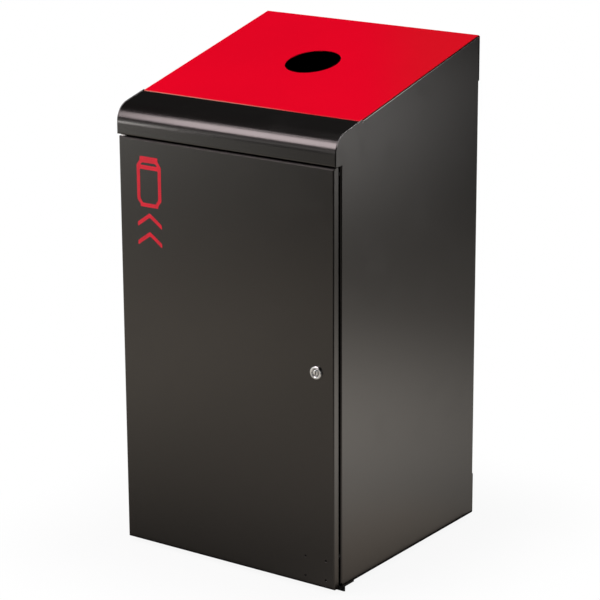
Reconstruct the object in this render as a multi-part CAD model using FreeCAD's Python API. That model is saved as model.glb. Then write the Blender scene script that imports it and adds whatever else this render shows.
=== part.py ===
import FreeCAD
import Part

import math
import os

Vector = FreeCAD.Vector

# Cabinet
width = 400.0
depth = 391.0
foot_height = 10.0
front_height = 648.4  # from the floor plate's underside to the lower edge of the nose
nose_rise = 40.8  # from that edge to where the front and the slope would meet
nose_radius = 30.0
slope_angle = 13.1
strip_depth = 65.6  # from the front face back to the joint between nose and lid

# Sheet metal
sheet = 1.2
bend_inside = 1.2
relief = 1.0  # slit left at the end of a bend
return_lip = 20.0  # side panels, behind the door's edges
seat_lip = 18.0  # side panels, under the lid, at the back and on the floor plate
nose_lip = 40.0  # nose, turned in over the door
joint_lip = 12.0  # nose and lid, turned down where they meet
joint_gap = 0.8
edge_proud = 0.8  # side panels' cut edges above the nose's slope
edge_set_back = 1.2  # side panels' cut edges behind the nose's front
edge_overlap = 2.0  # side panels' cut edges past the joint
lid_inset = 1.5  # lid's edges inside the side panels' faces
lid_tail = 72.0  # lid, turned down behind the back
base_upstand = 66.0  # floor plate, turned up behind the back
base_inset = 0.5
sill = 25.0  # floor plate, turned up behind the door
back_gap = 0.3
back_overlap = 20.0  # back panel behind the lid's tail

# Can mouth
mouth_radius = 43.5
mouth_reach = 170.0  # from the joint to the middle of the mouth, along the slope

# Door
door_inset = 3.4
door_depth = 12.0
door_gap = 3.0
top_gap = 2.7
door_drop = 1.5
door_swing = 110.0
stiffener_width = 50.0
stiffener_foot = 20.0
stiffener_height = 8.8
stiffener_end_gap = 60.0

# Four small holes for an accessory, low on the door
accessory_hole = 1.6
accessory_spacing_x = 37.0
accessory_spacing_z = 31.4
accessory_inset = 15.2
accessory_height = 13.0

# Hinges
hinge_inset = 5.6  # from the door's edge to the hinge line
pin_radius = 2.0
pin_head_radius = 3.5
pin_head_height = 2.0
pin_reach = 2.0  # pin's end beyond its bush
running_gap = 0.05
seat_gap = 0.3
bush_wall = 0.75
bush_flange_radius = 4.2
bush_flange = 2.5
bush_sleeve = 4.0
swing_clearance = 0.6
bracket_thickness = 2.5
strap_width = 11.2
strap_length = 46.8
strap_gap = 0.2
hinge_plate_length = 41.0
hinge_plate_thickness = 2.5
hinge_plate_corner = 8.0

# Lock
lock_inset = 31.0
lock_height = 337.6
bezel_radius = 10.0
bezel_proud = 3.5
bezel_chamfer = 1.2
barrel_radius = 8.0
plug_radius = 5.7
plug_recess = 0.6
key_slot_width = 1.6
key_slot_length = 7.0
key_slot_depth = 6.0
spigot_size = 6.0
nut_across = 20.0
nut_height = 5.0
cam_clearance = 2.1  # between the locked cam and the return that it holds
cam_engagement = 11.8
cam_thickness = 2.5
cam_width = 12.0
cam_screw_radius = 2.0
cam_screw_length = 8.0
cam_screw_across = 10.0
cam_screw_head = 3.0

# Bag shelf
shelf_drop = 89.5  # from the nose's lower edge down to the rails
shelf_front = 45.0
shelf_rear_gap = 26.0
shelf_lip = 15.0
shelf_side_gap = 0.8
rail_leg = 25.0
rail_height = 20.0
rail_end_gap = 5.0
bag_border_side = 48.0
bag_border_front = 25.0
bag_border_rear = 24.0
bag_corner_radius = 40.0
collar_height = 22.0

# Bag clamp
clamp_gap = 2.0
clamp_strip = 3.0
clamp_height = 12.0
clamp_bar_radius = 3.0
clip_spread = 90.0
clip_width = 12.0
clip_foot = 8.0

# Feet, buffers and rivets
foot_radius = 14.0
foot_plate = 2.5  # wall of the front feet, which are angles
foot_plate_back = 22.8  # from the door's face back to the front feet
foot_plate_inset = 0.6
foot_plate_width = 39.0
foot_plate_depth = 26.0
front_foot_side = 25.0
front_foot_back = 37.0
rear_foot_side = 45.0
rear_foot_back = 41.0
stud_radius = 3.0
stud_length = 4.0
buffer_radius = 3.5
buffer_side = 6.0
buffer_top_gap = 12.0
buffer_low = 60.0
rivet_radius = 1.6
rivet_length = 5.0
rivet_head_radius = 3.2
rivet_head_height = 1.0
rivet_side = 10.0

# Directions
left = Vector(-1, 0, 0)
right = Vector(1, 0, 0)
forward = Vector(0, -1, 0)
backward = Vector(0, 1, 0)
down = Vector(0, 0, -1)
up = Vector(0, 0, 1)

# Cabinet places that follow from the sizes
slope = math.radians(slope_angle)
slope_along = Vector(0, math.cos(slope), math.sin(slope))
slope_normal = Vector(0, -math.sin(slope), math.cos(slope))
bend = sheet + bend_inside
half_width = width / 2
inside_x = half_width - sheet
floor_top = foot_height + sheet
upstand_top = foot_height + base_upstand
nose_low = foot_height + front_height
corner_z = nose_low + nose_rise
panel_front = door_depth + door_gap
rear_face = depth + sheet
lid_front = strip_depth + joint_gap / 2
nose_back = strip_depth - joint_gap / 2

# Door, hinge and lock places
door_half = half_width - door_inset
door_low = foot_height - door_drop
door_high = nose_low - top_gap
hinge_x = hinge_inset - door_half
hinge_y = door_depth / 2
bracket_low = floor_top + sheet
bracket_top = bracket_low + bracket_thickness
hinge_plate_low = bracket_top + seat_gap + bush_flange
hinge_plate_top = hinge_plate_low + hinge_plate_thickness
bush_radius = pin_radius + running_gap + bush_wall
ear_radius = hinge_y - sheet - swing_clearance
strap_front = panel_front + strap_gap
strap_rear = strap_front + strap_length
strap_left = hinge_x - ear_radius
lock_x = door_half - lock_inset
lock_z = door_low + lock_height
cam_front = panel_front + sheet + cam_clearance
cam_back = cam_front + cam_thickness
cam_reach = half_width - return_lip - lock_x + cam_engagement
barrel_end = cam_front - seat_gap

# Shelf and clamp places
shelf_low = nose_low - shelf_drop
shelf_top = shelf_low + sheet
shelf_half = inside_x - shelf_side_gap
shelf_rear = depth - shelf_rear_gap
rail_front = shelf_front + rail_end_gap
rail_rear = shelf_rear - rail_end_gap
bag_half = shelf_half - bag_border_side
bag_front = shelf_front + bag_border_front
bag_rear = shelf_rear - bag_border_rear
saddle_radius = clamp_bar_radius + running_gap + sheet
clamp_low = shelf_top + seat_gap
clamp_pivot_y = bag_rear + sheet + clamp_gap + saddle_radius
clamp_pivot_z = clamp_low + clamp_bar_radius


def slope_z(y, offset=0.0):
    """Height at y of the sloping top, or of a plane at an offset above it."""
    return corner_z + y * math.tan(slope) + offset / math.cos(slope)


def on_slope(y, offset=0.0):
    """Point square above the slope's own point at y."""
    return Vector(0, y, slope_z(y)) + slope_normal * offset


def nose_corner(y=0.0, offset=0.0):
    """Where a front face at y and the slope, or a plane at an offset above it, would meet."""
    return Vector(0, y, slope_z(y, offset))


def segment(start, end):
    return Part.LineSegment(start, end).toShape()


def rounded_path(corners, radii):
    """Edges through the corners, with each corner between the two ends rounded by its radius."""
    edges = []
    last = corners[0]
    for before, corner, after, radius in zip(corners, corners[1:], corners[2:], radii):
        way_in = (corner - before).normalize()
        way_out = (after - corner).normalize()
        half_turn = way_in.getAngle(way_out) / 2
        start = corner - way_in * radius * math.tan(half_turn)
        end = corner + way_out * radius * math.tan(half_turn)
        if (start - last).Length > Part.Precision.confusion():
            edges.append(segment(last, start))
        if radius > 0:
            inward = (way_out - way_in).normalize()
            middle = corner + inward * radius * (1 / math.cos(half_turn) - 1)
            edges.append(Part.Arc(start, middle, end).toShape())
        last = end
    edges.append(segment(last, corners[-1]))
    return edges


def face_of(edges):
    return Part.Face(Part.Wire(Part.__sortEdges__(edges)))


def polygon(points):
    return Part.Face(Part.makePolygon(points + points[:1]))


def folded_section(corners, radii, facing, thickness=sheet):
    """Section of a folded sheet. With `facing` towards the eye, the metal is right of the corners."""
    ways = [(end - start).normalize() for start, end in zip(corners, corners[1:])]
    sides = [way.cross(facing) for way in ways]
    far_corners = [corners[0] + sides[0] * thickness]
    near_radii = []
    far_radii = []
    for corner, side, next_side, next_way, radius in zip(corners[1:], sides, sides[1:], ways[1:], radii):
        far_corners.append(corner + (side + next_side) * (thickness / (1 + side.dot(next_side))))
        folds_over_metal = side.dot(next_way) > 0
        near_radii.append(radius if folds_over_metal else radius - thickness)
        far_radii.append(radius - thickness if folds_over_metal else radius)
    far_corners.append(corners[-1] + sides[-1] * thickness)
    ends = [segment(corners[0], far_corners[0]), segment(corners[-1], far_corners[-1])]
    return face_of(rounded_path(corners, near_radii) + rounded_path(far_corners, far_radii) + ends)


def across(section, half_length):
    """Section in the plane x = 0, run from left to right."""
    return section.translated(left * half_length).extrude(right * 2 * half_length)


def flange(start, end, outward, inward, lip):
    """Bend and lip along the edge of a wall whose outer face ends at the line from start to end."""
    corner = start + outward * bend
    section = folded_section([start, corner, corner + inward * lip], [bend], inward.cross(outward))
    return section.extrude(end - start)


def block(low_corner, high_corner):
    size = high_corner - low_corner
    return Part.makeBox(size.x, size.y, size.z, low_corner)


def rod(radius, start, way, length):
    return Part.makeCylinder(radius, length, start, way)


def joined(first, *others):
    return first.fuse(list(others)).removeSplitter()


def mirrored(shape):
    return shape.mirror(Vector(0, 0, 0), right)


def drilled(shape, seats, way, radius):
    """Shape with a hole from each seat through one sheet and what lies close behind it."""
    drills = [rod(radius, seat - way * relief, way, bend + 2 * relief) for seat in seats]
    return shape.cut(drills)


def headed(head_radius, head_height, radius, seat, way, length):
    """Turned pin or rivet, with its head on a seat and its shank along a direction."""
    return joined(rod(head_radius, seat, way * -1, head_height), rod(radius, seat, way, length))


def hexagon(across_flats, base, way, height):
    corner_radius = across_flats / math.sqrt(3)
    turns = [math.radians(60 * index) for index in range(6)]
    corners = [Vector(corner_radius * math.cos(turn), corner_radius * math.sin(turn), 0) for turn in turns]
    prism = polygon(corners).extrude(up * height)
    prism.Placement = FreeCAD.Placement(base, FreeCAD.Rotation(up, way))
    return prism


# Seats of the small pieces
lid_tail_low = slope_z(rear_face) - lid_tail
back_top = lid_tail_low + back_overlap
rivet_z = (back_top + slope_z(depth)) / 2
rivet_seats = [Vector(side * (half_width - rivet_side), rear_face, rivet_z) for side in (-1, 1)]
buffer_seats = [
    Vector(half_width - buffer_side, panel_front, z) for z in (buffer_low, nose_low - buffer_top_gap)
]
front_foot_seat = Vector(half_width - front_foot_side, front_foot_back, foot_height)
rear_foot_seat = Vector(half_width - rear_foot_side, depth - rear_foot_back, foot_height)
foot_seats = [
    Vector(side * seat.x, seat.y, seat.z) for seat in (front_foot_seat, rear_foot_seat) for side in (-1, 1)
]


# Cabinet shell
def side_panel():
    """Right side panel: a flat wall that follows the nose, with four flanges turned in."""
    wall_front = panel_front + bend
    wall_rear = depth - bend
    wall_low = floor_top + bend
    edge_end = strip_depth + edge_overlap
    seat_drop = -(sheet + bend)
    wall_top = slope_z(wall_rear, seat_drop)
    middle_low = Vector(0, (wall_front + wall_rear) / 2, wall_low)
    corners = [
        middle_low,
        Vector(0, wall_front, wall_low),
        Vector(0, wall_front, nose_low),
        Vector(0, edge_set_back, nose_low),
        nose_corner(edge_set_back, edge_proud),
        on_slope(edge_end, edge_proud),
        on_slope(edge_end, seat_drop),
        Vector(0, wall_rear, wall_top),
        Vector(0, wall_rear, wall_low),
        middle_low,
    ]
    radii = [0, 0, 0, nose_radius, 0, 0, 0, 0]
    wall = face_of(rounded_path(corners, radii)).translated(right * inside_x).extrude(right * sheet)

    def at(y, z):
        return Vector(half_width, y, z)

    return_low = bracket_top + relief
    front_return = flange(
        at(wall_front, return_low), at(wall_front, nose_low - relief), forward, left, return_lip
    )
    rear_flange = flange(
        at(wall_rear, wall_low + relief), at(wall_rear, wall_top - bend - relief), backward, left, seat_lip
    )
    foot_flange = flange(
        at(wall_front + relief, wall_low), at(wall_rear - relief, wall_low), down, left, seat_lip
    )
    seat_start = on_slope(lid_front, seat_drop) + slope_along * (bend + relief) + right * half_width
    seat_end = at(wall_rear - relief, slope_z(wall_rear - relief, seat_drop))
    lid_seat = flange(seat_start, seat_end, slope_normal, left, seat_lip)
    panel = joined(wall, front_return, rear_flange, foot_flange, lid_seat)
    return drilled(panel, rivet_seats, forward, rivet_radius + running_gap)


def back_panel():
    half = half_width - bend - back_gap
    return block(Vector(-half, depth - 2 * sheet, floor_top), Vector(half, depth - sheet, back_top))


def base_tray():
    """Floor plate with an upstand behind the back and a sill behind the door."""
    corners = [
        Vector(0, rear_face, upstand_top),
        Vector(0, rear_face, foot_height),
        Vector(0, panel_front, foot_height),
        Vector(0, panel_front, foot_height + sill),
    ]
    half = half_width - base_inset
    tray = across(folded_section(corners, [bend, bend], right), half)
    notch_low = Vector(half_width - return_lip - relief, panel_front - relief, foot_height - relief)
    notch_high = Vector(half + relief, panel_front + bend, foot_height + sill + relief)
    notch = block(notch_low, notch_high)
    return drilled(tray.cut([notch, mirrored(notch)]), foot_seats, up, stud_radius + running_gap)


def front_nose():
    """Rounded strip over the door, with a lip below it that carries the upper hinge pin."""
    corners = [
        Vector(0, nose_lip, nose_low),
        Vector(0, 0, nose_low),
        nose_corner(),
        on_slope(nose_back),
        on_slope(nose_back, -joint_lip),
    ]
    nose = across(folded_section(corners, [bend, nose_radius, bend], right), inside_x)
    return drilled(nose, [Vector(hinge_x, hinge_y, nose_low)], up, pin_radius + running_gap)


def lid_panel():
    """Sloping lid with the can mouth, a lip at the joint and a tail behind the back."""
    corners = [
        on_slope(lid_front, -joint_lip),
        on_slope(lid_front),
        Vector(0, rear_face, slope_z(rear_face)),
        Vector(0, rear_face, lid_tail_low),
    ]
    lid = across(folded_section(corners, [bend, bend], right), half_width - lid_inset)
    mouth_middle = on_slope(lid_front) + slope_along * mouth_reach
    lid = drilled(lid, [mouth_middle], slope_normal * -1, mouth_radius)
    return drilled(lid, rivet_seats, forward, rivet_radius + running_gap)


# Door
def pan(low_corner, high_corner, radius):
    """Block with its front edges rounded."""
    body = block(low_corner, high_corner)
    front_edges = [edge for edge in body.Edges if edge.BoundBox.YMax < low_corner.y + radius]
    return body.makeFillet(radius, front_edges)


def door_panel():
    """Folded pan. Its left return stops above the hinge bracket, which turns inside it."""
    outer = pan(Vector(-door_half, 0, door_low), Vector(door_half, door_depth, door_high), bend)
    hollow_low = Vector(sheet - door_half, sheet, door_low + sheet)
    hollow_high = Vector(door_half - sheet, door_depth + bend, door_high - sheet)
    hinge_cut_low = Vector(-door_half - relief, sheet, door_low + sheet)
    hinge_cut_high = Vector(bend - door_half, door_depth + relief, hinge_plate_low)
    door = outer.cut([pan(hollow_low, hollow_high, bend_inside), block(hinge_cut_low, hinge_cut_high)])
    right_column = door_half - accessory_inset
    low_row = door_low + accessory_height
    accessory_seats = [
        Vector(x, 0, z)
        for x in (right_column - accessory_spacing_x, right_column)
        for z in (low_row, low_row + accessory_spacing_z)
    ]
    door = drilled(door, accessory_seats, backward, accessory_hole)
    door = drilled(door, [Vector(lock_x, 0, lock_z)], backward, barrel_radius + running_gap)
    return drilled(door, [Vector(hinge_x, hinge_y, door_high)], down, bush_radius + running_gap)


def door_stiffener():
    """Hat section welded upright to the middle of the door's inner face."""
    half = stiffener_width / 2
    low = door_low + stiffener_end_gap
    corners = [
        Vector(half + stiffener_foot, sheet, low),
        Vector(half, sheet, low),
        Vector(half, stiffener_height, low),
        Vector(-half, stiffener_height, low),
        Vector(-half, sheet, low),
        Vector(-half - stiffener_foot, sheet, low),
    ]
    return folded_section(corners, [bend] * 4, up).extrude(up * (door_high - stiffener_end_gap - low))


def door_hinge_plate():
    """Plate welded into the door's lower corner, which rides on the lower bush."""
    near = sheet - door_half
    far = near + hinge_plate_length
    outline = [
        Vector(near, sheet + bend_inside, hinge_plate_low),
        Vector(near + bend_inside, sheet, hinge_plate_low),
        Vector(far, sheet, hinge_plate_low),
        Vector(far - hinge_plate_corner, door_depth, hinge_plate_low),
        Vector(near, door_depth, hinge_plate_low),
    ]
    plate = polygon(outline).extrude(up * hinge_plate_thickness)
    return drilled(plate, [Vector(hinge_x, hinge_y, hinge_plate_low)], up, bush_radius + running_gap)


# Hinges
def hinge_bush(seat_z, way, flange_thickness, plate_thickness):
    """Nylon bush: its flange lies on a plate's face at seat_z and its sleeve runs through the plate."""
    seat = Vector(hinge_x, hinge_y, seat_z)
    sleeve_length = plate_thickness + bush_sleeve
    bush = headed(bush_flange_radius, flange_thickness, bush_radius, seat, way, sleeve_length)
    bore_length = flange_thickness + sleeve_length + 2 * relief
    return bush.cut(rod(pin_radius + running_gap, seat - way * (flange_thickness + relief), way, bore_length))


def hinge_pin(seat_z, way, end_z):
    """Headed pin whose head lies against the plate that holds it."""
    seat = Vector(hinge_x, hinge_y, seat_z)
    return headed(pin_head_radius, pin_head_height, pin_radius, seat, way, abs(end_z - seat_z))


def lower_hinge_bracket():
    """Ear under the door on a neck that the open door clears, and a strap on the floor."""
    lean = math.radians(door_swing - 90)
    axis = Vector(hinge_x, hinge_y, bracket_low)
    ear_middle = -(math.pi + lean) / 2
    ear_right = axis + right * ear_radius
    ear_left = axis + Vector(-math.cos(lean), math.sin(lean), 0) * ear_radius
    ear_front = axis + Vector(math.cos(ear_middle), math.sin(ear_middle), 0) * ear_radius
    neck_length = (strap_front - ear_left.y) / math.cos(lean)
    strap_right = strap_left + strap_width
    outline = [
        ear_left,
        ear_left + Vector(math.sin(lean), math.cos(lean), 0) * neck_length,
        Vector(strap_left, strap_front, bracket_low),
        Vector(strap_left, strap_rear, bracket_low),
        Vector(strap_right, strap_rear, bracket_low),
        Vector(strap_right, strap_front, bracket_low),
        Vector(ear_right.x, strap_front, bracket_low),
        ear_right,
    ]
    edges = [segment(start, end) for start, end in zip(outline, outline[1:])]
    edges.append(Part.Arc(ear_right, ear_front, ear_left).toShape())
    bracket = face_of(edges).extrude(up * bracket_thickness)
    return drilled(bracket, [axis], up, pin_radius + running_gap)


# Lock
def lock_axis(y):
    return Vector(lock_x, y, lock_z)


def lock_housing():
    """Round housing with a chamfered bezel, bored for the plug."""
    chamfer_back = bezel_chamfer - bezel_proud
    chamfer = Part.makeCone(
        bezel_radius - bezel_chamfer, bezel_radius, bezel_chamfer, lock_axis(-bezel_proud), backward
    )
    bezel = rod(bezel_radius, lock_axis(chamfer_back), backward, -chamfer_back)
    barrel = rod(barrel_radius, lock_axis(0), backward, barrel_end)
    bore = rod(plug_radius + running_gap, lock_axis(-bezel_proud - relief), backward, 2 * barrel_end)
    return joined(chamfer, bezel, barrel).cut(bore)


def lock_nut():
    nut = hexagon(nut_across, lock_axis(sheet), backward, nut_height)
    return nut.cut(rod(barrel_radius + running_gap, lock_axis(0), backward, 2 * nut_height))


def square_spigot(size, start_y, end_y):
    half = Vector(size / 2, 0, size / 2)
    return block(lock_axis(start_y) - half, lock_axis(end_y) + half)


def lock_plug():
    """Turning plug with a key slot in front and a square spigot behind for the cam."""
    face_y = plug_recess - bezel_proud
    plug = rod(plug_radius, lock_axis(face_y), backward, cam_front - face_y)
    slot_half = Vector(key_slot_width / 2, 0, key_slot_length / 2)
    slot = block(lock_axis(face_y - relief) - slot_half, lock_axis(face_y + key_slot_depth) + slot_half)
    screw_hole = rod(
        cam_screw_radius + running_gap, lock_axis(cam_back + relief), forward, cam_screw_length + 2 * relief
    )
    return joined(plug, square_spigot(spigot_size, cam_front, cam_back)).cut([slot, screw_hole])


def lock_cam():
    """Flat cam, which hangs down when the door is free to open."""
    tip_radius = cam_width / 2
    tip_drop = down * (cam_reach - tip_radius)
    boss = rod(barrel_radius, lock_axis(cam_front), backward, cam_thickness)
    tip = rod(tip_radius, lock_axis(cam_front) + tip_drop, backward, cam_thickness)
    arm = block(lock_axis(cam_front) + tip_drop - right * tip_radius, lock_axis(cam_back) + right * tip_radius)
    square = square_spigot(spigot_size + 2 * running_gap, cam_front - relief, cam_back + relief)
    return joined(boss, tip, arm).cut(square)


def cam_screw():
    head = hexagon(cam_screw_across, lock_axis(cam_back), backward, cam_screw_head)
    return joined(head, rod(cam_screw_radius, lock_axis(cam_back), forward, cam_screw_length))


# Bag shelf and clamp
def bag_outline(offset, z):
    """Rounded outline of the bag opening, moved outward by an offset."""
    x = bag_half + offset
    near = bag_front - offset
    far = bag_rear + offset
    corners = [
        Vector(0, far, z),
        Vector(x, far, z),
        Vector(x, near, z),
        Vector(-x, near, z),
        Vector(-x, far, z),
        Vector(0, far, z),
    ]
    return face_of(rounded_path(corners, [bag_corner_radius + offset] * 4))


def bag_shelf():
    """Shelf with a raised collar, over which the top of a refuse bag is folded."""
    corners = [
        Vector(0, shelf_front, shelf_top - shelf_lip),
        Vector(0, shelf_front, shelf_top),
        Vector(0, shelf_rear, shelf_top),
        Vector(0, shelf_rear, shelf_top - shelf_lip),
    ]
    plate = across(folded_section(corners, [bend, bend], right), shelf_half)
    collar = bag_outline(sheet, shelf_low).extrude(up * (sheet + collar_height))
    opening = bag_outline(0, shelf_low - relief).extrude(up * (sheet + collar_height + 2 * relief))
    return joined(plate, collar).cut(opening)


def shelf_rail():
    """Right-hand angle that carries the shelf, welded to the side panel."""
    corners = [
        Vector(inside_x, rail_front, shelf_low - rail_height),
        Vector(inside_x, rail_front, shelf_low),
        Vector(inside_x - rail_leg, rail_front, shelf_low),
    ]
    return folded_section(corners, [bend], backward).extrude(backward * (rail_rear - rail_front))


def bag_clamp():
    """Strip that drops round the collar and holds the bag, on a bar that turns behind it."""
    offset = sheet + clamp_gap
    x = bag_half + offset
    near = bag_front - offset
    corners = [
        Vector(-x, clamp_pivot_y, clamp_low),
        Vector(-x, near, clamp_low),
        Vector(x, near, clamp_low),
        Vector(x, clamp_pivot_y, clamp_low),
    ]
    corner_radius = bag_corner_radius + offset + clamp_strip
    strip = folded_section(corners, [corner_radius] * 2, up, clamp_strip).extrude(up * clamp_height)
    outer_x = x + clamp_strip
    bar = rod(clamp_bar_radius, Vector(-outer_x, clamp_pivot_y, clamp_pivot_z), right, 2 * outer_x)
    return joined(strip, bar)


def clamp_clip(side):
    """Saddle over the clamp's bar, with its foot welded to the shelf."""
    front = clamp_pivot_y - saddle_radius
    back = clamp_pivot_y + saddle_radius
    top = clamp_pivot_z + saddle_radius
    corners = [
        Vector(0, front, shelf_top),
        Vector(0, front, top),
        Vector(0, back, top),
        Vector(0, back, shelf_top + sheet),
        Vector(0, back + clip_foot, shelf_top + sheet),
    ]
    clip = across(folded_section(corners, [saddle_radius, saddle_radius, bend], right), clip_width / 2)
    return clip.translated(right * side * clip_spread)


# Small pieces that repeat
def front_foot():
    """Right front foot: an angle that stands on its front wall, with a stud through the floor plate."""
    wall_rear = foot_plate_back + foot_plate
    leg_rear = foot_plate_back + foot_plate_depth
    leg_low = foot_height - foot_plate
    side_x = half_width - foot_plate_inset
    outline = [
        Vector(side_x, foot_plate_back, 0),
        Vector(side_x, wall_rear, 0),
        Vector(side_x, wall_rear, leg_low),
        Vector(side_x, leg_rear, leg_low),
        Vector(side_x, leg_rear, foot_height),
        Vector(side_x, foot_plate_back, foot_height),
    ]
    stud = rod(stud_radius, front_foot_seat, up, stud_length)
    return joined(polygon(outline).extrude(left * foot_plate_width), stud)


def glide_feet():
    front = front_foot()
    rear = headed(foot_radius, foot_height, stud_radius, rear_foot_seat, up, stud_length)
    return Part.makeCompound([front, mirrored(front), rear, mirrored(rear)])


def door_buffers():
    return Part.makeCompound([rod(buffer_radius, seat, forward, door_gap - seat_gap) for seat in buffer_seats])


def lid_rivets():
    rivets = [
        headed(rivet_head_radius, rivet_head_height, rivet_radius, seat, forward, rivet_length)
        for seat in rivet_seats
    ]
    return Part.makeCompound(rivets)


side = side_panel()
rail = shelf_rail()
nodes = {
    "left_side_panel": mirrored(side),
    "right_side_panel": side,
    "back_panel": back_panel(),
    "base_tray": base_tray(),
    "front_nose": front_nose(),
    "lid_panel": lid_panel(),
    "lid_rivets": lid_rivets(),
    "glide_feet": glide_feet(),
    "door_buffers": door_buffers(),
    "door_panel": door_panel(),
    "door_stiffener": door_stiffener(),
    "door_hinge_plate": door_hinge_plate(),
    "upper_hinge_pin": hinge_pin(nose_low + sheet, down, door_high - sheet - bush_sleeve - pin_reach),
    "upper_hinge_bush": hinge_bush(door_high, down, top_gap - seat_gap, sheet),
    "lower_hinge_bracket": lower_hinge_bracket(),
    "lower_hinge_pin": hinge_pin(bracket_low, up, hinge_plate_top + bush_sleeve + pin_reach),
    "lower_hinge_bush": hinge_bush(hinge_plate_low, up, bush_flange, hinge_plate_thickness),
    "lock_housing": lock_housing(),
    "lock_nut": lock_nut(),
    "lock_plug": lock_plug(),
    "lock_cam": lock_cam(),
    "cam_screw": cam_screw(),
    "left_shelf_rail": mirrored(rail),
    "right_shelf_rail": rail,
    "bag_shelf": bag_shelf(),
    "bag_clamp": bag_clamp(),
    "left_clamp_clip": clamp_clip(-1),
    "right_clamp_clip": clamp_clip(1),
}

# The origin is on the floor, midway between the lock's face and the rivet heads on the back
middle_y = (rear_face + rivet_head_height - bezel_proud) / 2
os.makedirs("parts", exist_ok=True)
for name, shape in nodes.items():
    shape.translated(forward * middle_y).exportStep(f"parts/{name}.step")
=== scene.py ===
# %% [markdown]
# # A sorting bin for drink cans
# The bin is a folded steel cabinet with a red lid, a round mouth for cans and a hinged, lockable
# door. Its shapes come from the CAD model, which loads here as a fixed frame: every node keeps its
# place, and Blender's part is the finish of each surface, a few small pieces and the light.

import math

import bmesh
import bpy
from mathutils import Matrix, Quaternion, Vector


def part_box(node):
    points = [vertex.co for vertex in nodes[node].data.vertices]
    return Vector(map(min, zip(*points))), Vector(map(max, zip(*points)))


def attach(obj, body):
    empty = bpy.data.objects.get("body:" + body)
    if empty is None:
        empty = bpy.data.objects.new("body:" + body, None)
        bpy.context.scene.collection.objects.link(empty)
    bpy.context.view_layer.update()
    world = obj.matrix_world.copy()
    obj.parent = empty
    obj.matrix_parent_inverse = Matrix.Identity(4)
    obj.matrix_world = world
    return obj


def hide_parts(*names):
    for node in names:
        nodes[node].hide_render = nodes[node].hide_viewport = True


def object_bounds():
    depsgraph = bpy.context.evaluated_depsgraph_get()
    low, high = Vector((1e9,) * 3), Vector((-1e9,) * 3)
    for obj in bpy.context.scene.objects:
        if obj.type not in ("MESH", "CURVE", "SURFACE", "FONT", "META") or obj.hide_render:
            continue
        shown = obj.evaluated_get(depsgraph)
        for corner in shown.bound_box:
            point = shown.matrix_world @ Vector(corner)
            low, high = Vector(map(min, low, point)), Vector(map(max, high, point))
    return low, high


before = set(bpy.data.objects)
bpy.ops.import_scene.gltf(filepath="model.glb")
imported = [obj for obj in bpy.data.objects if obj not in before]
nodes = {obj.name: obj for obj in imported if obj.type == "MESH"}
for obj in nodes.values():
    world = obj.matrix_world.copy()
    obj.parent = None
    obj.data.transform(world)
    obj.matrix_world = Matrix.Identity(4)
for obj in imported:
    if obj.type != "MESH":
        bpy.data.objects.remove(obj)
cad_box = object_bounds()
cad_sides = cad_box[1] - cad_box[0]
print("CAD nodes:", len(nodes), "in a box of", [round(side, 3) for side in cad_sides], "m")

# %% [markdown]
# ## Camera
# The photograph looks down on the bin's right front edge from a few metres away with a long lens.
# A camera can be aimed by hand until the picture fits, but the eye point, the direction and the
# focal length can also be worked out from the bin's corners in the photograph. That was done here,
# so the numbers are a measured position and need no trial and error.

# %% Place the camera
def new_object(name, data):
    """Object with the given data, linked to the scene."""
    item = bpy.data.objects.new(name, data)
    bpy.context.scene.collection.objects.link(item)
    return item


eye = Vector((2.1476, -3.0505, 1.4791))
sight = Vector((-0.55236, 0.78442, -0.2821))
camera_roll = math.radians(-0.287)
focal_length = 149.71

camera_data = bpy.data.cameras.new("camera")
camera_data.sensor_width = 36.0
camera_data.lens = focal_length
camera_data.clip_start = 0.1
camera_data.clip_end = 100.0
camera = new_object("camera", camera_data)
camera.rotation_mode = "QUATERNION"
camera.location = eye
camera.rotation_quaternion = sight.to_track_quat("-Z", "Y") @ Quaternion((0, 0, 1), camera_roll)
bpy.context.scene.camera = camera
print("camera", [round(value, 2) for value in eye], "with a lens of", focal_length, "mm")

# %% [markdown]
# ## Shader nodes in code
# Every finish below is a small network of shader nodes. Wiring nodes by hand takes many lines, so
# one helper adds a node, sets its options and either links a socket or gives it a fixed value. The
# shorter helpers after it are the few nodes that nearly every finish needs.

# %% Helpers that add nodes
def add(tree, kind, sockets=None, **options):
    """Node with its options set and each socket linked or given a fixed value."""
    node = tree.nodes.new(kind)
    for name, value in options.items():
        setattr(node, name, value)
    for socket, value in (sockets or {}).items():
        if isinstance(value, bpy.types.NodeSocket):
            tree.links.new(value, node.inputs[socket])
        else:
            node.inputs[socket].default_value = value
    return node


def math_node(tree, operation, first, second=0.0, clamp=False):
    sockets = {0: first, 1: second}
    node = add(tree, "ShaderNodeMath", sockets, operation=operation, use_clamp=clamp)
    return node.outputs[0]


def vector_node(tree, operation, first, second=(0, 0, 0)):
    sockets = {0: first, 1: second}
    return add(tree, "ShaderNodeVectorMath", sockets, operation=operation).outputs


def scaled(tree, colour, share):
    sockets = {0: colour, "Scale": share}
    return add(tree, "ShaderNodeVectorMath", sockets, operation="SCALE").outputs[0]


def blended(tree, share, first, second):
    """Colour between two others."""
    sockets = {"Factor": share, "A": first, "B": second}
    return add(tree, "ShaderNodeMix", sockets, data_type="RGBA").outputs["Result"]


def remap(tree, value, low, high, new_low=0.0, new_high=1.0):
    """Value carried from one range to another with a soft start and end."""
    sockets = {"Value": value, "From Min": low, "From Max": high}
    sockets.update({"To Min": new_low, "To Max": new_high})
    node = add(tree, "ShaderNodeMapRange", sockets, interpolation_type="SMOOTHSTEP")
    return node.outputs["Result"]


def object_place(tree):
    return add(tree, "ShaderNodeTexCoord").outputs["Object"]


def object_axes(tree):
    return add(tree, "ShaderNodeSeparateXYZ", {0: object_place(tree)}).outputs


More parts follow.
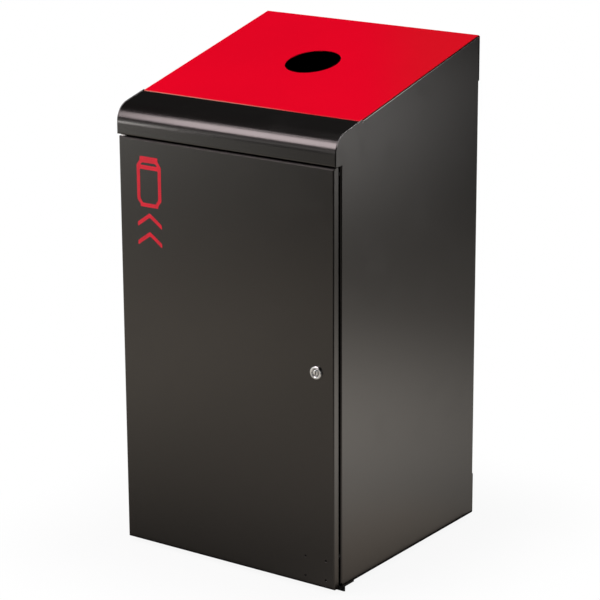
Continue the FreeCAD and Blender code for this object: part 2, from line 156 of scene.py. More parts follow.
def noise(tree, place, scale, detail, distortion=0.0):
    sockets = {"Vector": place, "Scale": scale, "Detail": detail, "Distortion": distortion}
    return add(tree, "ShaderNodeTexNoise", sockets).outputs["Fac"]


def new_group(name, inputs, outputs):
    """Shader node group with float inputs and the outputs given as name and socket kind."""
    group = bpy.data.node_groups.new(name, "ShaderNodeTree")
    for label, value in inputs.items():
        socket = group.interface.new_socket(label, in_out="INPUT", socket_type="NodeSocketFloat")
        socket.default_value = value
    for label, kind in outputs.items():
        group.interface.new_socket(label, in_out="OUTPUT", socket_type=kind)
    start, end = group.nodes.new("NodeGroupInput"), group.nodes.new("NodeGroupOutput")
    return group, start.outputs, end.inputs


def use_group(tree, group, **values):
    node = tree.nodes.new("ShaderNodeGroup")
    node.node_tree = group
    for label, value in values.items():
        node.inputs[label.replace("_", " ").capitalize()].default_value = value
    return node.outputs


print("node helpers ready")

# %% [markdown]
# ## Grain of a sprayed or moulded skin
# Powder paint melts into a skin with a slight orange peel, and moulded plastic has a fine leathery
# grain. Both are bumps a millimetre or so wide. Modelling them would take millions of faces, so a
# noise texture in object space gives their height, and each material feeds it to a Bump node with
# its own scale.

# %% Group: skin grain
grain_group, grain_in, grain_out = new_group(
    "skin grain", {"Size": 0.002, "Fine share": 0.3}, {"Height": "NodeSocketFloat"}
)
grain_place = object_place(grain_group)
peel_scale = math_node(grain_group, "DIVIDE", 1.0, grain_in["Size"])
peel = noise(grain_group, grain_place, peel_scale, 1.0)
fine_scale = math_node(grain_group, "MULTIPLY", peel_scale, 5.0)
fine = noise(grain_group, grain_place, fine_scale, 2.0)
fine_height = math_node(grain_group, "MULTIPLY", fine, grain_in["Fine share"])
grain_height = math_node(grain_group, "ADD", peel, fine_height)
grain_group.links.new(grain_height, grain_out["Height"])
print("group", grain_group.name)

# %% [markdown]
# ## Edges of folded and cut sheet
# Paint draws thin over an edge, so edges catch the light and rub bright first. The Bevel node
# rounds the shading normal within a small radius of every edge. Where that rounded normal leaves
# the true one, there is an edge, so the same node gives a mask for wear and for a painted
# highlight along the edges. A noise breaks the mask up, because wear is never even.

# %% Group: edge wear
edge_group, edge_in, edge_out = new_group(
    "edge wear",
    {"Radius": 0.0008, "Breakup": 90.0},
    {"Mask": "NodeSocketFloat", "Normal": "NodeSocketVector"},
)
bevel = add(edge_group, "ShaderNodeBevel", {"Radius": edge_in["Radius"]}, samples=6)
rounded = bevel.outputs["Normal"]
true_normal = add(edge_group, "ShaderNodeNewGeometry").outputs["Normal"]
agreement = vector_node(edge_group, "DOT_PRODUCT", rounded, true_normal)["Value"]
edge_mask = remap(edge_group, agreement, 0.99, 0.85)
patches = noise(edge_group, object_place(edge_group), edge_in["Breakup"], 4.0)
uneven_patches = remap(edge_group, patches, 0.3, 0.6, 0.3, 1.0)
worn_and_lit_edges = math_node(edge_group, "MULTIPLY", edge_mask, uneven_patches)
edge_group.links.new(worn_and_lit_edges, edge_out["Mask"])
edge_group.links.new(rounded, edge_out["Normal"])
print("group", edge_group.name)

# %% [markdown]
# ## Uneven tone
# No coat is the same all over: it is a little thicker here, cleaner there, and hands leave a film.
# A slow, cloudy noise stands for all of that. It gives a value round zero, for the colour, and a
# film between none and full, for the roughness. Each material takes them in its own measure.

# %% Group: uneven tone
tone_group, tone_in, tone_out = new_group(
    "uneven tone",
    {"Size": 0.2, "Smear": 3.0},
    {"Drift": "NodeSocketFloat", "Film": "NodeSocketFloat"},
)
tone_place = object_place(tone_group)
cloud_scale = math_node(tone_group, "DIVIDE", 1.0, tone_in["Size"])
cloud = noise(tone_group, tone_place, cloud_scale, 3.0)
drift = math_node(tone_group, "SUBTRACT", cloud, 0.5)
smear_scale = math_node(tone_group, "MULTIPLY", cloud_scale, tone_in["Smear"])
smear = noise(tone_group, tone_place, smear_scale, 5.0, distortion=0.6)
tone_group.links.new(drift, tone_out["Drift"])
tone_group.links.new(remap(tone_group, smear, 0.45, 0.75), tone_out["Film"])
print("group", tone_group.name)

# %% [markdown]
# ## Powder coat
# The cabinet is sprayed in a dark satin grey and its lid in red. Both are the same paint in another
# colour, so one function makes them. The film of handling raises the paint's roughness a little,
# and the colour darkens and lightens slightly with the uneven tone. The edges high up at the front,
# beside the nose and the lid, turn pale: this is a painted highlight along their cut edges, broken
# up like wear, and the edges near the floor keep the paint's colour.

# %% Powder coat materials
bump_depth = 0.0002
edge_light_low = 0.684
edge_light_high = 0.696
film_dulling = 0.035


def new_material(name):
    material = bpy.data.materials.new(name)
    material.use_nodes = True
    tree = material.node_tree
    return material, tree, tree.nodes["Principled BSDF"]


def toned_colour(tree, tone, colour, depth):
    """Colour that darkens and lightens by the given share with the uneven tone."""
    return scaled(tree, colour, remap(tree, tone["Drift"], -0.25, 0.25, 1 - depth, 1 + depth))


def raise_grain(tree, shader, edges, size, fine_share, strength):
    """Bump of the skin grain over the rounded edges."""
    grain = use_group(tree, grain_group, size=size, fine_share=fine_share)
    sockets = {"Height": grain["Height"], "Normal": edges["Normal"]}
    sockets.update({"Strength": strength, "Distance": bump_depth})
    bump = add(tree, "ShaderNodeBump", sockets)
    tree.links.new(bump.outputs["Normal"], shader.inputs["Normal"])


def powder_coat(name, colour, edge_highlight_and_wear_colour, roughness, tone_depth, sheen_colour, sheen_level):
    material, tree, shader = new_material(name)
    shader.inputs["Specular Tint"].default_value = sheen_colour
    shader.inputs["Specular IOR Level"].default_value = sheen_level
    tone = use_group(tree, tone_group, size=0.25, smear=4.0)
    edges = use_group(tree, edge_group, radius=0.0009, breakup=120.0)
    paint = toned_colour(tree, tone, colour, tone_depth)
    # Pale edges high up at the front: a painted highlight along the cut edges, broken up like wear.
    axes = object_axes(tree)
    high_up = remap(tree, axes["Z"], edge_light_low, edge_light_high, 0.03, 1.0)
    in_front = remap(tree, axes["Y"], -0.12, 0.12, 1.0, 0.2)
    edge_light_place = math_node(tree, "MULTIPLY", high_up, in_front)
    highlight_and_wear = math_node(tree, "MULTIPLY", edges["Mask"], edge_light_place)
    tree.links.new(blended(tree, highlight_and_wear, paint, edge_highlight_and_wear_colour), shader.inputs["Base Color"])
    satin = remap(tree, tone["Film"], 0.0, 1.0, roughness, roughness + film_dulling)
    tree.links.new(satin, shader.inputs["Roughness"])
    raise_grain(tree, shader, edges, size=0.0022, fine_share=0.2, strength=0.06)
    return material


finishes = {
    "grey_powder_coat": powder_coat(
        "grey powder coat",
        colour=(0.0045, 0.004, 0.0037),
        edge_highlight_and_wear_colour=(0.8, 0.77, 0.78, 1),
        roughness=0.2,
        tone_depth=0.08,
        sheen_colour=(1, 0.94, 0.9, 1),
        sheen_level=0.9,
    ),
    "red_powder_coat": powder_coat(
        "red powder coat",
        colour=(0.77, 0.0004, 0.016),
        edge_highlight_and_wear_colour=(0.8, 0.02, 0.03, 1),
        roughness=0.3,
        tone_depth=0.03,
        sheen_colour=(1, 0.75, 0.75, 1),
        sheen_level=0.06,
    ),
}
print("powder coats:", sorted(finishes))

# %% [markdown]
# ## Top edge of the door
# The door has no handle: once the lock is open, fingers pull at its top edge. Handling dulls satin
# paint, so the bend there gets a higher roughness and stays quiet under the bright nose. The mask
# is a place again, the last millimetres below the top of the door's front.

# %% Dulled top bend
dulled_roughness = 0.65
door_low, door_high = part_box("door_panel")
dulled_from = door_high.z - 0.0030
dulled_full = door_high.z - 0.0018
nose_from = door_high.z + 0.0010
bend_back = door_low.y + 0.0040

grey_tree = finishes["grey_powder_coat"].node_tree
grey_shader = grey_tree.nodes["Principled BSDF"]
satin = grey_shader.inputs["Roughness"].links[0].from_socket
door_axes = object_axes(grey_tree)
handled = remap(grey_tree, door_axes["Z"], dulled_from, dulled_full)
below_nose = remap(grey_tree, door_axes["Z"], nose_from, nose_from + 0.0002, 1.0, 0.0)
at_front = remap(grey_tree, door_axes["Y"], bend_back, bend_back + 0.0010, 1.0, 0.0)
below_nose = math_node(grey_tree, "MULTIPLY", below_nose, at_front)
handled = math_node(grey_tree, "MULTIPLY", handled, below_nose)
dulled = add(grey_tree, "ShaderNodeMix", {"Factor": handled, "A": satin, "B": dulled_roughness})
grey_tree.links.new(dulled.outputs["Result"], grey_shader.inputs["Roughness"])
print("door dulled from z =", round(dulled_from, 4), "m")

# %% [markdown]
# ## Front edge and rear corner of the lid
# The bend where the lid meets the dark nose gets a pale line along it, on the left more than on
# the right: a painted highlight on that bend. It is a highlight of one place only, not of every
# edge, so the mask reads the place on the lid: it is full at the very front and gone a millimetre
# further back. The rear right corner of the lid is a little duller and darker red, with a mask
# that grows slowly and aslant.

# %% Painted highlight and duller corner of the red
duller_corner_red = (0.68, 0.0046, 0.0145, 1)
lid_edge_highlight_colour = (0.66, 0.24, 0.19, 1)
lid_low, lid_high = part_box("lid_panel")

red_tree = finishes["red_powder_coat"].node_tree
red_shader = red_tree.nodes["Principled BSDF"]
red_paint = red_shader.inputs["Base Color"].links[0].from_socket
lid_axes = object_axes(red_tree)
# Duller, darker red towards the rear right corner.
further_back = math_node(red_tree, "MULTIPLY", lid_axes["Y"], 0.68)
aslant = math_node(red_tree, "ADD", lid_axes["X"], further_back)
red_paint = blended(red_tree, remap(red_tree, aslant, 0.10, 0.26), red_paint, duller_corner_red)
# Painted highlight: a pale line on the lid's front bend, fuller on the left.
front_highlight = remap(red_tree, lid_axes["Y"], lid_low.y + 0.0008, lid_low.y + 0.0002)
left_more = remap(red_tree, lid_axes["X"], -0.05, 0.12, 1.0, 0.1)
front_highlight = math_node(red_tree, "MULTIPLY", front_highlight, left_more)
red_paint = blended(red_tree, front_highlight, red_paint, lid_edge_highlight_colour)
red_tree.links.new(red_paint, red_shader.inputs["Base Color"])
print("lid edge highlight from y =", round(lid_low.y, 4), "m")

# %% [markdown]
# ## Metal, nylon, plastic and rubber
# The lock is chromed, the hinge parts and the bag clamp are zinc plated, the bushes are white
# nylon, the feet black plastic and the buffers rubber. Each is a Principled shader with its own
# roughness, and the same groups give its grain and its uneven tone.

# %% Other finishes
moulded_drift = 0.12
moulded_dulling = 0.1


def moulded(name, colour, roughness, grain_size, strength, metallic=0.0):
    material, tree, shader = new_material(name)
    shader.inputs["Metallic"].default_value = metallic
    tone = use_group(tree, tone_group, size=0.02, smear=3.0)
    skin = toned_colour(tree, tone, colour, moulded_drift)
    tree.links.new(skin, shader.inputs["Base Color"])
    handled = remap(tree, tone["Film"], 0.0, 1.0, roughness, roughness + moulded_dulling)
    tree.links.new(handled, shader.inputs["Roughness"])
    edges = use_group(tree, edge_group, radius=0.0003, breakup=200.0)
    raise_grain(tree, shader, edges, size=grain_size, fine_share=0.4, strength=strength)
    return material


finishes["chrome"] = moulded("chrome", (0.95, 0.95, 0.955), 0.1, 0.004, 0.02, metallic=1.0)
zinc = moulded("zinc plated steel", (0.55, 0.56, 0.55), 0.32, 0.003, 0.05, metallic=1.0)
finishes["zinc_steel"] = zinc
finishes["white_nylon"] = moulded("white nylon", (0.78, 0.77, 0.73), 0.4, 0.0008, 0.05)
finishes["black_plastic"] = moulded("black plastic", (0.012, 0.012, 0.012), 0.45, 0.0006, 0.15)
finishes["black_rubber"] = moulded("black rubber", (0.01, 0.01, 0.01), 0.7, 0.0005, 0.2)

for node in nodes.values():
    for slot in node.material_slots:
        slot.material = finishes[slot.material.name]
print("finishes on the CAD nodes:", sorted(finishes))

# %% [markdown]
# ## Round pieces
# A lock's face, a rivet and a rubber buffer have one outline that is the same all the way round, so
# a lathe is the natural tool. The outline is a list of radius and height in millimetres, and the
# code spins it round an axis. Blender's Screw modifier could spin a curve in the same way, but in
# mesh code a point on the axis becomes a single vertex, so that each piece closes without doubled
# points.

# %% Helpers for round pieces
crease_angle = math.radians(35)


def finished_mesh(name, shape):
    """Mesh with its faces outward, smooth except at the creases."""
    bmesh.ops.recalc_face_normals(shape, faces=shape.faces)
    mesh = bpy.data.meshes.new(name)
    shape.to_mesh(mesh)
    shape.free()
    mesh.shade_smooth()
    mesh.set_sharp_from_angle(angle=crease_angle)
    return mesh


def turned(shape, outline, foot, axis, sides=48, closed=False):
    """Spins an outline of radius and height in millimetres round the axis that starts at foot."""
    axis = Vector(axis)
    across = Vector((1, 0, 0))
    up = axis.cross(across)
    rings = []
    for radius, height in outline:
        middle = Vector(foot) + axis * height / 1000
        turns = [math.tau * step / sides for step in range(sides)] if radius else [0.0]
        arms = [(across * math.cos(t) + up * math.sin(t)) * radius / 1000 for t in turns]
        rings.append([shape.verts.new(middle + arm) for arm in arms])
    for near, far in zip(rings, rings[1:] + (rings[:1] if closed else [])):
        for step in range(sides):
            corners = [near[turn % len(near)] for turn in (step, step + 1)]
            corners += [far[turn % len(far)] for turn in (step + 1, step)]
            shape.faces.new(list(dict.fromkeys(corners)))


def add_piece(name, mesh, body, slot, *replaced):
    """Piece that rides on a body, with the finish of a slot, instead of the CAD nodes named."""
    piece = new_object(name, mesh)
    mesh.materials.append(finishes[slot])
    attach(piece, body)
    if replaced:
        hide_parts(*replaced)
    print(name, "with", len(mesh.polygons), "faces on", body)


print("lathe ready")

# %% [markdown]
# ## Lock housing
# The lock is a cam lock: a chromed barrel goes through the door from the front and its bezel, a
# half-round ring, rests on the sheet. The ring is what catches the light in the photograph, so it
# gets a true half-round outline. Behind the door the barrel carries a thread, drawn as ridges one
# millimetre apart. A real thread is a spiral, but under the nut and at this size rings look the
# same.

# %% Bezel and threaded barrel
forward = Vector((0, -1, 0))
door_face = door_low.y
housing_low, housing_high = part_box("lock_housing")
housing_middle = (housing_low + housing_high) / 2
lock_foot = Vector((housing_middle.x, door_face, housing_middle.z))

bore_radius = 5.75
barrel_radius = 8.0
barrel_end = -18.0
bezel_radius = 10.0
bezel_side = 2.2
bezel_crown = 1.3
thread_root = 7.45

ring_width = bezel_radius - barrel_radius
half_round = [math.radians(180 - 15 * step) for step in range(13)]
housing_outline = [(bore_radius, barrel_end), (bore_radius, bezel_side)]
for turn in half_round:
    crown = bezel_side + bezel_crown * math.sin(turn)
    housing_outline.append((barrel_radius + ring_width * math.cos(turn), crown))
housing_outline += [(bezel_radius, 0.0), (barrel_radius, 0.0)]
for ridge in range(2, 17):
    housing_outline += [(barrel_radius, -ridge), (thread_root, -ridge - 0.5)]
housing_outline += [(barrel_radius, -17.0), (7.0, barrel_end)]
housing = bmesh.new()
turned(housing, housing_outline, lock_foot, forward, closed=True)
housing_mesh = finished_mesh("lock bezel and barrel", housing)
add_piece("lock_bezel_and_barrel", housing_mesh, "door", "chrome", "lock_housing")

# %% [markdown]
# ## Lock plug
# The plug turns in the barrel and has the keyway in its crowned face. The face is turned on the
# lathe, and the keyway is cut out with a Boolean modifier, because a slot with a ward on one side
# can't be spun. A black shutter in it and a black ring in the groove round the face are painted
# shade that darkens the keyway and the groove. Behind, the plug ends in a square spigot that
# drives the cam.

# %% Helpers for cut pieces
merge_distance = 1e-6


def prism(shape, polygon, foot, axis, low, high):
    """Block with a polygon in millimetres as its section, between two heights along the axis."""
    axis = Vector(axis)
    across = Vector((1, 0, 0))
    up = axis.cross(across)
    ends = []
    for height in (low, high):
        places = [Vector(foot) + (axis * height + across * a + up * b) / 1000 for a, b in polygon]
        ends.append([shape.verts.new(place) for place in places])
        shape.faces.new(ends[-1])
    for step in range(len(polygon)):
        before = step - 1
        shape.faces.new((ends[0][before], ends[0][step], ends[1][step], ends[1][before]))


def combined(mesh, other, operation):
    """Mesh after a Boolean with another one, which is used up."""
    kept, tool = new_object("shape", mesh), new_object("tool", other)
    boolean = kept.modifiers.new("boolean", "BOOLEAN")
    boolean.operation = operation
    boolean.solver = "EXACT"
    boolean.object = tool
    cut = kept.evaluated_get(bpy.context.evaluated_depsgraph_get())
    result = bpy.data.meshes.new_from_object(cut)
    for item in (kept, tool):
        bpy.data.objects.remove(item)
    clean = bmesh.new()
    clean.from_mesh(result)
    bmesh.ops.remove_doubles(clean, verts=clean.verts, dist=merge_distance)
    bmesh.ops.dissolve_degenerate(clean, edges=clean.edges, dist=merge_distance)
    clean.to_mesh(result)
    clean.free()
    result.shade_smooth()
    result.set_sharp_from_angle(angle=crease_angle)
    return result


print("blocks and Booleans ready")

# %% Plug with keyway
keyway_floor = -3.1
crowned = [(0, 2.9), (2.5, 2.88), (3.9, 2.75), (4.5, 2.5), (4.75, 2.1), (4.75, 0.5), (5.7, 0.5)]
crowned += [(5.7, -18.3), (0, -18.3)]
keyway = [(-0.8, -3.5), (0.8, -3.5), (0.8, -0.8), (1.3, -0.3)]
keyway += [(1.3, 0.6), (0.8, 1.1), (0.8, 3.5), (-0.8, 3.5)]
spigot_square = [(-3, -3), (3, -3), (3, 3), (-3, 3)]

plug = bmesh.new()
turned(plug, crowned, lock_foot, forward)
key_slot = bmesh.new()
prism(key_slot, keyway, lock_foot, forward, keyway_floor, 4.0)
plug_mesh = finished_mesh("lock plug", plug)
plug_mesh = combined(plug_mesh, finished_mesh("keyway", key_slot), "DIFFERENCE")
spigot = bmesh.new()
prism(spigot, spigot_square, lock_foot, forward, -20.8, -18.0)
plug_mesh = combined(plug_mesh, finished_mesh("spigot", spigot), "UNION")
add_piece("lock_plug_with_keyway", plug_mesh, "lock", "chrome", "lock_plug")

# %% Shutter and ring of painted shade
# Black shutter in the keyway and black ring in the groove: painted shade.
ring_section = [(4.8, 0.55), (5.65, 0.55), (5.65, 1.0), (4.8, 1.0)]
shutter_section = [(0.97 * a, 0.9 * b) for a, b in keyway]
shutter = bmesh.new()
prism(shutter, shutter_section, lock_foot, forward, keyway_floor - 0.1, 1.9)
turned(shutter, ring_section, lock_foot, forward, closed=True)
shutter_mesh = finished_mesh("keyway shade shutter and ring", shutter)
add_piece("keyway_shade_shutter_and_ring", shutter_mesh, "lock", "black_plastic")

# %% [markdown]
# ## Nut and cam screw
# A flat hexagon nut pulls the barrel tight against the door, and a hexagon screw holds the cam on
# the plug. The corners of both are turned off at a slant, which leaves the curved edges that make a
# nut look like a nut. That is the overlap of two simple shapes: a hexagon and a turned blank with
# chamfers.

# %% Hexagon pieces
def hexagon(name, blank_outline, across_flats, low, high, closed=False):
    """Turned blank with its sides cut to a hexagon."""
    blank = bmesh.new()
    turned(blank, blank_outline, lock_foot, forward, closed=closed)
    corner = across_flats / math.sqrt(3)
    turns = [math.radians(60 * step) for step in range(6)]
    section = [(corner * math.cos(turn), corner * math.sin(turn)) for turn in turns]
    block = bmesh.new()
    prism(block, section, lock_foot, forward, low, high)
    return combined(finished_mesh(name, blank), finished_mesh("hexagon", block), "INTERSECT")


nut_outline = [(8.05, -5.8), (8.5, -6.2), (10.0, -6.2), (11.7, -5.2)]
nut_outline += [(11.7, -2.2), (10.0, -1.2), (8.5, -1.2), (8.05, -1.6)]
nut_mesh = hexagon("lock nut", nut_outline, 20.0, -7.0, 0.0, closed=True)
add_piece("lock_nut_chamfered", nut_mesh, "door", "zinc_steel", "lock_nut")

head_outline = [(0, -23.8), (4.75, -23.8), (5.8, -23.2), (5.8, -20.8), (0, -20.8)]
shank_outline = [(0, -12.8), (1.6, -12.8), (2.0, -13.2), (2.0, -21.0), (0, -21.0)]
screw_mesh = hexagon("cam screw", head_outline, 10.0, -25.0, -20.0)
shank = bmesh.new()
turned(shank, shank_outline, lock_foot, forward)
screw_mesh = combined(screw_mesh, finished_mesh("screw shank", shank), "UNION")
add_piece("cam_screw_hexagon", screw_mesh, "lock", "zinc_steel", "cam_screw")

# %% [markdown]
# ## Rivets of the lid
# Two blind rivets hold the lid's tail to the back. A blind rivet has a low domed head with a small
# well in its middle, where the steel pin broke off. The lathe's outline draws the dome and the well
# in one line.

# %% Rivets
backwards = Vector((0, 1, 0))
tail_face = lid_high.y
rivet_radius = 0.0032
rivet_low, rivet_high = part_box("lid_rivets")
rivet_z = (rivet_low.z + rivet_high.z) / 2
rivet_outline = [(0, -5.0), (1.6, -5.0), (1.6, 0), (3.2, 0), (3.2, 0.25), (2.9, 0.62), (2.3, 0.88)]
rivet_outline += [(1.5, 1.0), (0.95, 1.0), (0.85, 0.55), (0, 0.5)]
rivets = bmesh.new()
for rivet_x in (rivet_low.x + rivet_radius, rivet_high.x - rivet_radius):
    turned(rivets, rivet_outline, (rivet_x, tail_face, rivet_z), backwards, 32)
rivet_mesh = finished_mesh("lid rivets", rivets)
add_piece("lid_rivets_domed", rivet_mesh, "cabinet", "zinc_steel", "lid_rivets")

# %% [markdown]
# ## Rubber buffers and hole plugs
# Two rubber buffers on the right side panel take the knock of the closing door. They are small
# domes. The four small holes low on the door are closed by black blind plugs: each is a cup pushed
# in from behind. Its deep hollow gives real shade, and its black is painted shade for the dark of
# the holes.

# %% Buffers
buffer_radius = 0.0035
buffer_low, buffer_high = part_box("door_buffers")
buffer_x = (buffer_low.x + buffer_high.x) / 2
buffer_outline = [(0, 0), (3.5, 0), (3.5, 0.9), (3.1, 1.6), (2.2, 2.2), (1.0, 2.45), (0, 2.5)]
buffers = bmesh.new()
for buffer_z in (buffer_low.z + buffer_radius, buffer_high.z - buffer_radius):
    turned(buffers, buffer_outline, (buffer_x, buffer_high.y, buffer_z), forward, 32)
buffer_mesh = finished_mesh("door buffers", buffers)
add_piece("door_buffers_domed", buffer_mesh, "cabinet", "black_rubber", "door_buffers")

# %% Hole plugs
hole_insets = (0.0522, 0.0152)
hole_heights = (0.013, 0.0444)
cup_outline = [(0, -8.0), (1.5, -8.0), (1.5, -0.6), (1.58, -0.45), (1.58, -1.25), (2.6, -1.25)]
cup_outline += [(2.6, -1.7), (2.1, -1.9), (2.1, -8.3), (1.7, -8.7), (0, -8.7)]
# Black cups in the holes: painted shade, with the real shade of their hollow.
cups = bmesh.new()
for inset in hole_insets:
    for height in hole_heights:
        cup_foot = (door_high.x - inset, door_face, door_low.z + height)
        turned(cups, cup_outline, cup_foot, forward, 24)
add_piece("door_hole_shade_plugs", finished_mesh("door hole shade plugs", cups), "door", "black_rubber")

# %% [markdown]
# ## Edge trims of the tail
# The ends of the lid's tail are cut sheet behind the cabinet, and they sit in deep shade. A black
# rubber profile covers each of them; its black is painted shade for those ends. It is one section
# drawn from above and pulled up along the edge.

# %% Edge trims
trim_low = -71.0
trim_high = -1.6
trim_section = [(-4.0, 0.0), (0.0, 0.0), (0.0, -1.05), (0.75, -1.05), (1.0, -0.8), (1.0, 0.4)]
trim_section += [(0.85, 0.75), (0.5, 0.95), (-3.5, 0.95), (-3.85, 0.75), (-4.0, 0.4)]
# Black trims on the tail's ends: painted shade.
trims = bmesh.new()
for side in (-1, 1):
    section = [(side * a, b) for a, b in trim_section]
    tail_corner = (side * lid_high.x, tail_face, lid_high.z)
    prism(trims, section, tail_corner, (0, 0, 1), trim_low, trim_high)
add_piece("tail_shade_trims", finished_mesh("tail shade trims", trims), "cabinet", "black_rubber")

# %% [markdown]
# ## Spot welds of the stiffener
# The stiffener inside the door is spot welded through its feet. Each weld leaves a shallow dish
# with a low rim, which the paint covers. They show only with the door open, but then they tell how
# the door was made.

# %% Spot welds
sheet = 0.0012
welds_per_foot = 9
weld_inset = 0.01
weld_margin = 0.022
weld_outline = [(0, -0.4), (2.9, -0.4), (2.9, 0.0), (2.5, 0.22), (2.0, 0.22), (1.5, 0.06)]
weld_outline += [(0, 0.03)]
weld_low, weld_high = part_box("door_stiffener")
weld_run = weld_high.z - weld_low.z - 2 * weld_margin
welds = bmesh.new()
for weld_x in (weld_low.x + weld_inset, weld_high.x - weld_inset):
    for step in range(welds_per_foot):
        weld_z = weld_low.z + weld_margin + weld_run * step / (welds_per_foot - 1)
        turned(welds, weld_outline, (weld_x, weld_low.y + sheet, weld_z), backwards, 24)
weld_mesh = finished_mesh("stiffener spot welds", welds)
add_piece("stiffener_spot_welds", weld_mesh, "door", "grey_powder_coat")

# %% [markdown]
# ## Sign on the door
# A sign on the door says what goes in, as a plain picture of a can with two arrows towards the
# mouth. Such signs are plotted from coloured film and rubbed on, so this one is a film too:
# outlines with rounded corners, filled with triangles and lifted by the thickness of the film. A
# flat print would need an image, and a film has an edge that catches the light.

# %% Outlines of the sign
def soft_corners(points, radius, steps=5):
    """Outline with each corner rounded over the given length."""
    soft = []
    points = [Vector(point) for point in points]
    for number, corner in enumerate(points):
        before, after = points[number - 1] - corner, points[(number + 1) % len(points)] - corner
        start = corner + before.normalized() * min(radius, before.length * 0.49)
        end = corner + after.normalized() * min(radius, after.length * 0.49)
        for share in [step / steps for step in range(steps + 1)]:
            rest = 1 - share
            soft.append(start * rest**2 + corner * 2 * share * rest + end * share**2)
    return soft


can_body = [(-17, 0), (17, 0), (17, 4), (23, 11), (23, 64), (17, 72), (17, 78), (-17, 78)]
can_body += [(-17, 72), (-23, 64), (-23, 11), (-17, 4)]
can_window = [(-12, 6), (12, 6), (17, 13), (17, 58), (-17, 58), (-17, 13)]
can_rim = [(-16, 64.5), (16, 64.5), (13, 68.5), (-13, 68.5)]
arrow = [(-23, 0), (0, 16), (23, 0), (23, 7), (0, 23), (-23, 7)]
sign_shapes = [((can_body, can_window, can_rim), 552), ((arrow,), 520), ((arrow,), 491)]
print("sign of", len(sign_shapes), "shapes")

# %% Film sign
corner_radius = 2.0
film_thickness = 0.00018
film_sunk = 0.00005
sign_middle = -0.14
film_back = door_face + film_sunk
film = bmesh.new()
for outlines, sign_height in sign_shapes:
    film_edges = []
    for outline in outlines:
        corners = []
        for a, b in soft_corners(outline, corner_radius):
            place = (sign_middle + a / 1000, film_back, (sign_height + b) / 1000)
            corners.append(film.verts.new(place))
        film_edges += [film.edges.new(pair) for pair in zip(corners, corners[1:] + corners[:1])]
    filled = bmesh.ops.triangle_fill(film, edges=film_edges, use_beauty=True)["geom"]
    film_faces = [item for item in filled if isinstance(item, bmesh.types.BMFace)]
    lifted = bmesh.ops.extrude_face_region(film, geom=film_faces)["geom"]
    lifted = [item for item in lifted if isinstance(item, bmesh.types.BMVert)]
    bmesh.ops.translate(film, verts=lifted, vec=forward * (film_thickness + film_sunk))
finishes["red_film"] = moulded("red film", (0.75, 0.003, 0.025), 0.35, 0.003, 0.04)
sign_mesh = finished_mesh("can sign", film)
add_piece("can_sign", sign_mesh, "door", "red_powder_coat")
sign_mesh.materials[0] = finishes["red_film"]

# %% [markdown]
# ## Floor
# The bin stands on a plain pale floor that fills the picture. For camera rays the floor glows at
# strength 1, which is white, and close to the bin a part of it stays ordinary matt white, so that
# the bin keeps a soft shadow there.

# %% Floor
floor_half = 25.0
corner_signs = ((-1, -1), (1, -1), (1, 1), (-1, 1))
floor_mesh = bpy.data.meshes.new("floor")
floor_corners = [(x * floor_half, y * floor_half, 0) for x, y in corner_signs]
floor_mesh.from_pydata(floor_corners, [], [(0, 1, 2, 3)])
floor = new_object("floor", floor_mesh)

floor_material, floor_tree, plain_shader = new_material("pale floor")
floor_tree.nodes.remove(plain_shader)
floor_mesh.materials.append(floor_material)
floor_place = object_place(floor_tree)
beside = vector_node(floor_tree, "ABSOLUTE", floor_place)[0]
beside = vector_node(floor_tree, "SUBTRACT", beside, cad_sides / 2)[0]
beside = vector_node(floor_tree, "MAXIMUM", beside)[0]
clear = vector_node(floor_tree, "LENGTH", beside)["Value"]
print("floor", 2 * floor_half, "m square")

# %% [markdown]
# ## Pools of light on the floor
# Satin paint is a weak mirror: the door mirrors the floor on the left in front of it, the side
# panel the floor on the right behind it, and so the tone of both is the tone of that floor. In a
# studio the floor is bright where the lamps stand and dark in between, and the dark room towards
# the camera draws a black line along each upright bend. A few round pools with soft borders are
# enough to give every side its slow change of tone. The floor close to the bin is warmer than the
# floor far away, most of all beside the right side panel, and right under the bin's edges no light
# gets in.

# %% Brightness of the mirrored floor
def pool(x, y, radius, colour):
    distance = vector_node(floor_tree, "DISTANCE", floor_place, (x, y, 0))["Value"]
    return scaled(floor_tree, colour, remap(floor_tree, distance, 0.0, radius, 1.0, 0.0))


dark_floor = (0.02, 0.02, 0.02)
brightest = (1.4, 1.4, 1.4)
pool_list = [
    (0.32, -0.73, 0.84, (0.35, 0.32, 0.29)),
    (-0.90, -0.99, 1.53, (0.69, 0.64, 0.56)),
    (-3.27, -2.27, 2.56, (1.58, 1.60, 1.52)),
    (0.92, 0.20, 1.04, (1.22, 1.17, 1.09)),
    (1.20, 0.80, 1.79, (0.39, 0.37, 0.34)),
    (2.32, 1.81, 1.08, (1.71, 1.70, 1.65)),
    (2.31, 2.41, 0.74, (1.71, 1.70, 1.67)),
    (2.73, 2.97, 1.01, (1.71, 1.70, 1.68)),
    (-1.75, 0.50, 1.50, (0.62, 0.59, 0.54)),
    (-0.60, 1.70, 1.30, (0.75, 0.71, 0.66)),
    (0.10, -2.40, 1.10, (0.60, 0.57, 0.53)),
    (0.27, -0.10, 0.22, (0.075, 0.040, 0.012)),
    (0.29, 0.10, 0.22, (0.075, 0.040, 0.012)),
]
pools = dark_floor
for x, y, radius, colour in pool_list:
    pools = vector_node(floor_tree, "ADD", pool(x, y, radius, colour), pools)[0]
pools = vector_node(floor_tree, "MINIMUM", pools, brightest)[0]
under_edge = remap(floor_tree, clear, 0.016, 0.022, 0.03, 1.0)
mirrored = scaled(floor_tree, pools, under_edge)
print("floor with", len(pool_list), "pools of light")

# %% [markdown]
# ## What the rays see of the floor
# The Light Path node tells which kind of ray asks. The camera sees white, reflections see the
# pools, and the light that bounces off the floor on to the bin comes from ordinary matt white. So
# the picture keeps its white ground without any more light on the bin.

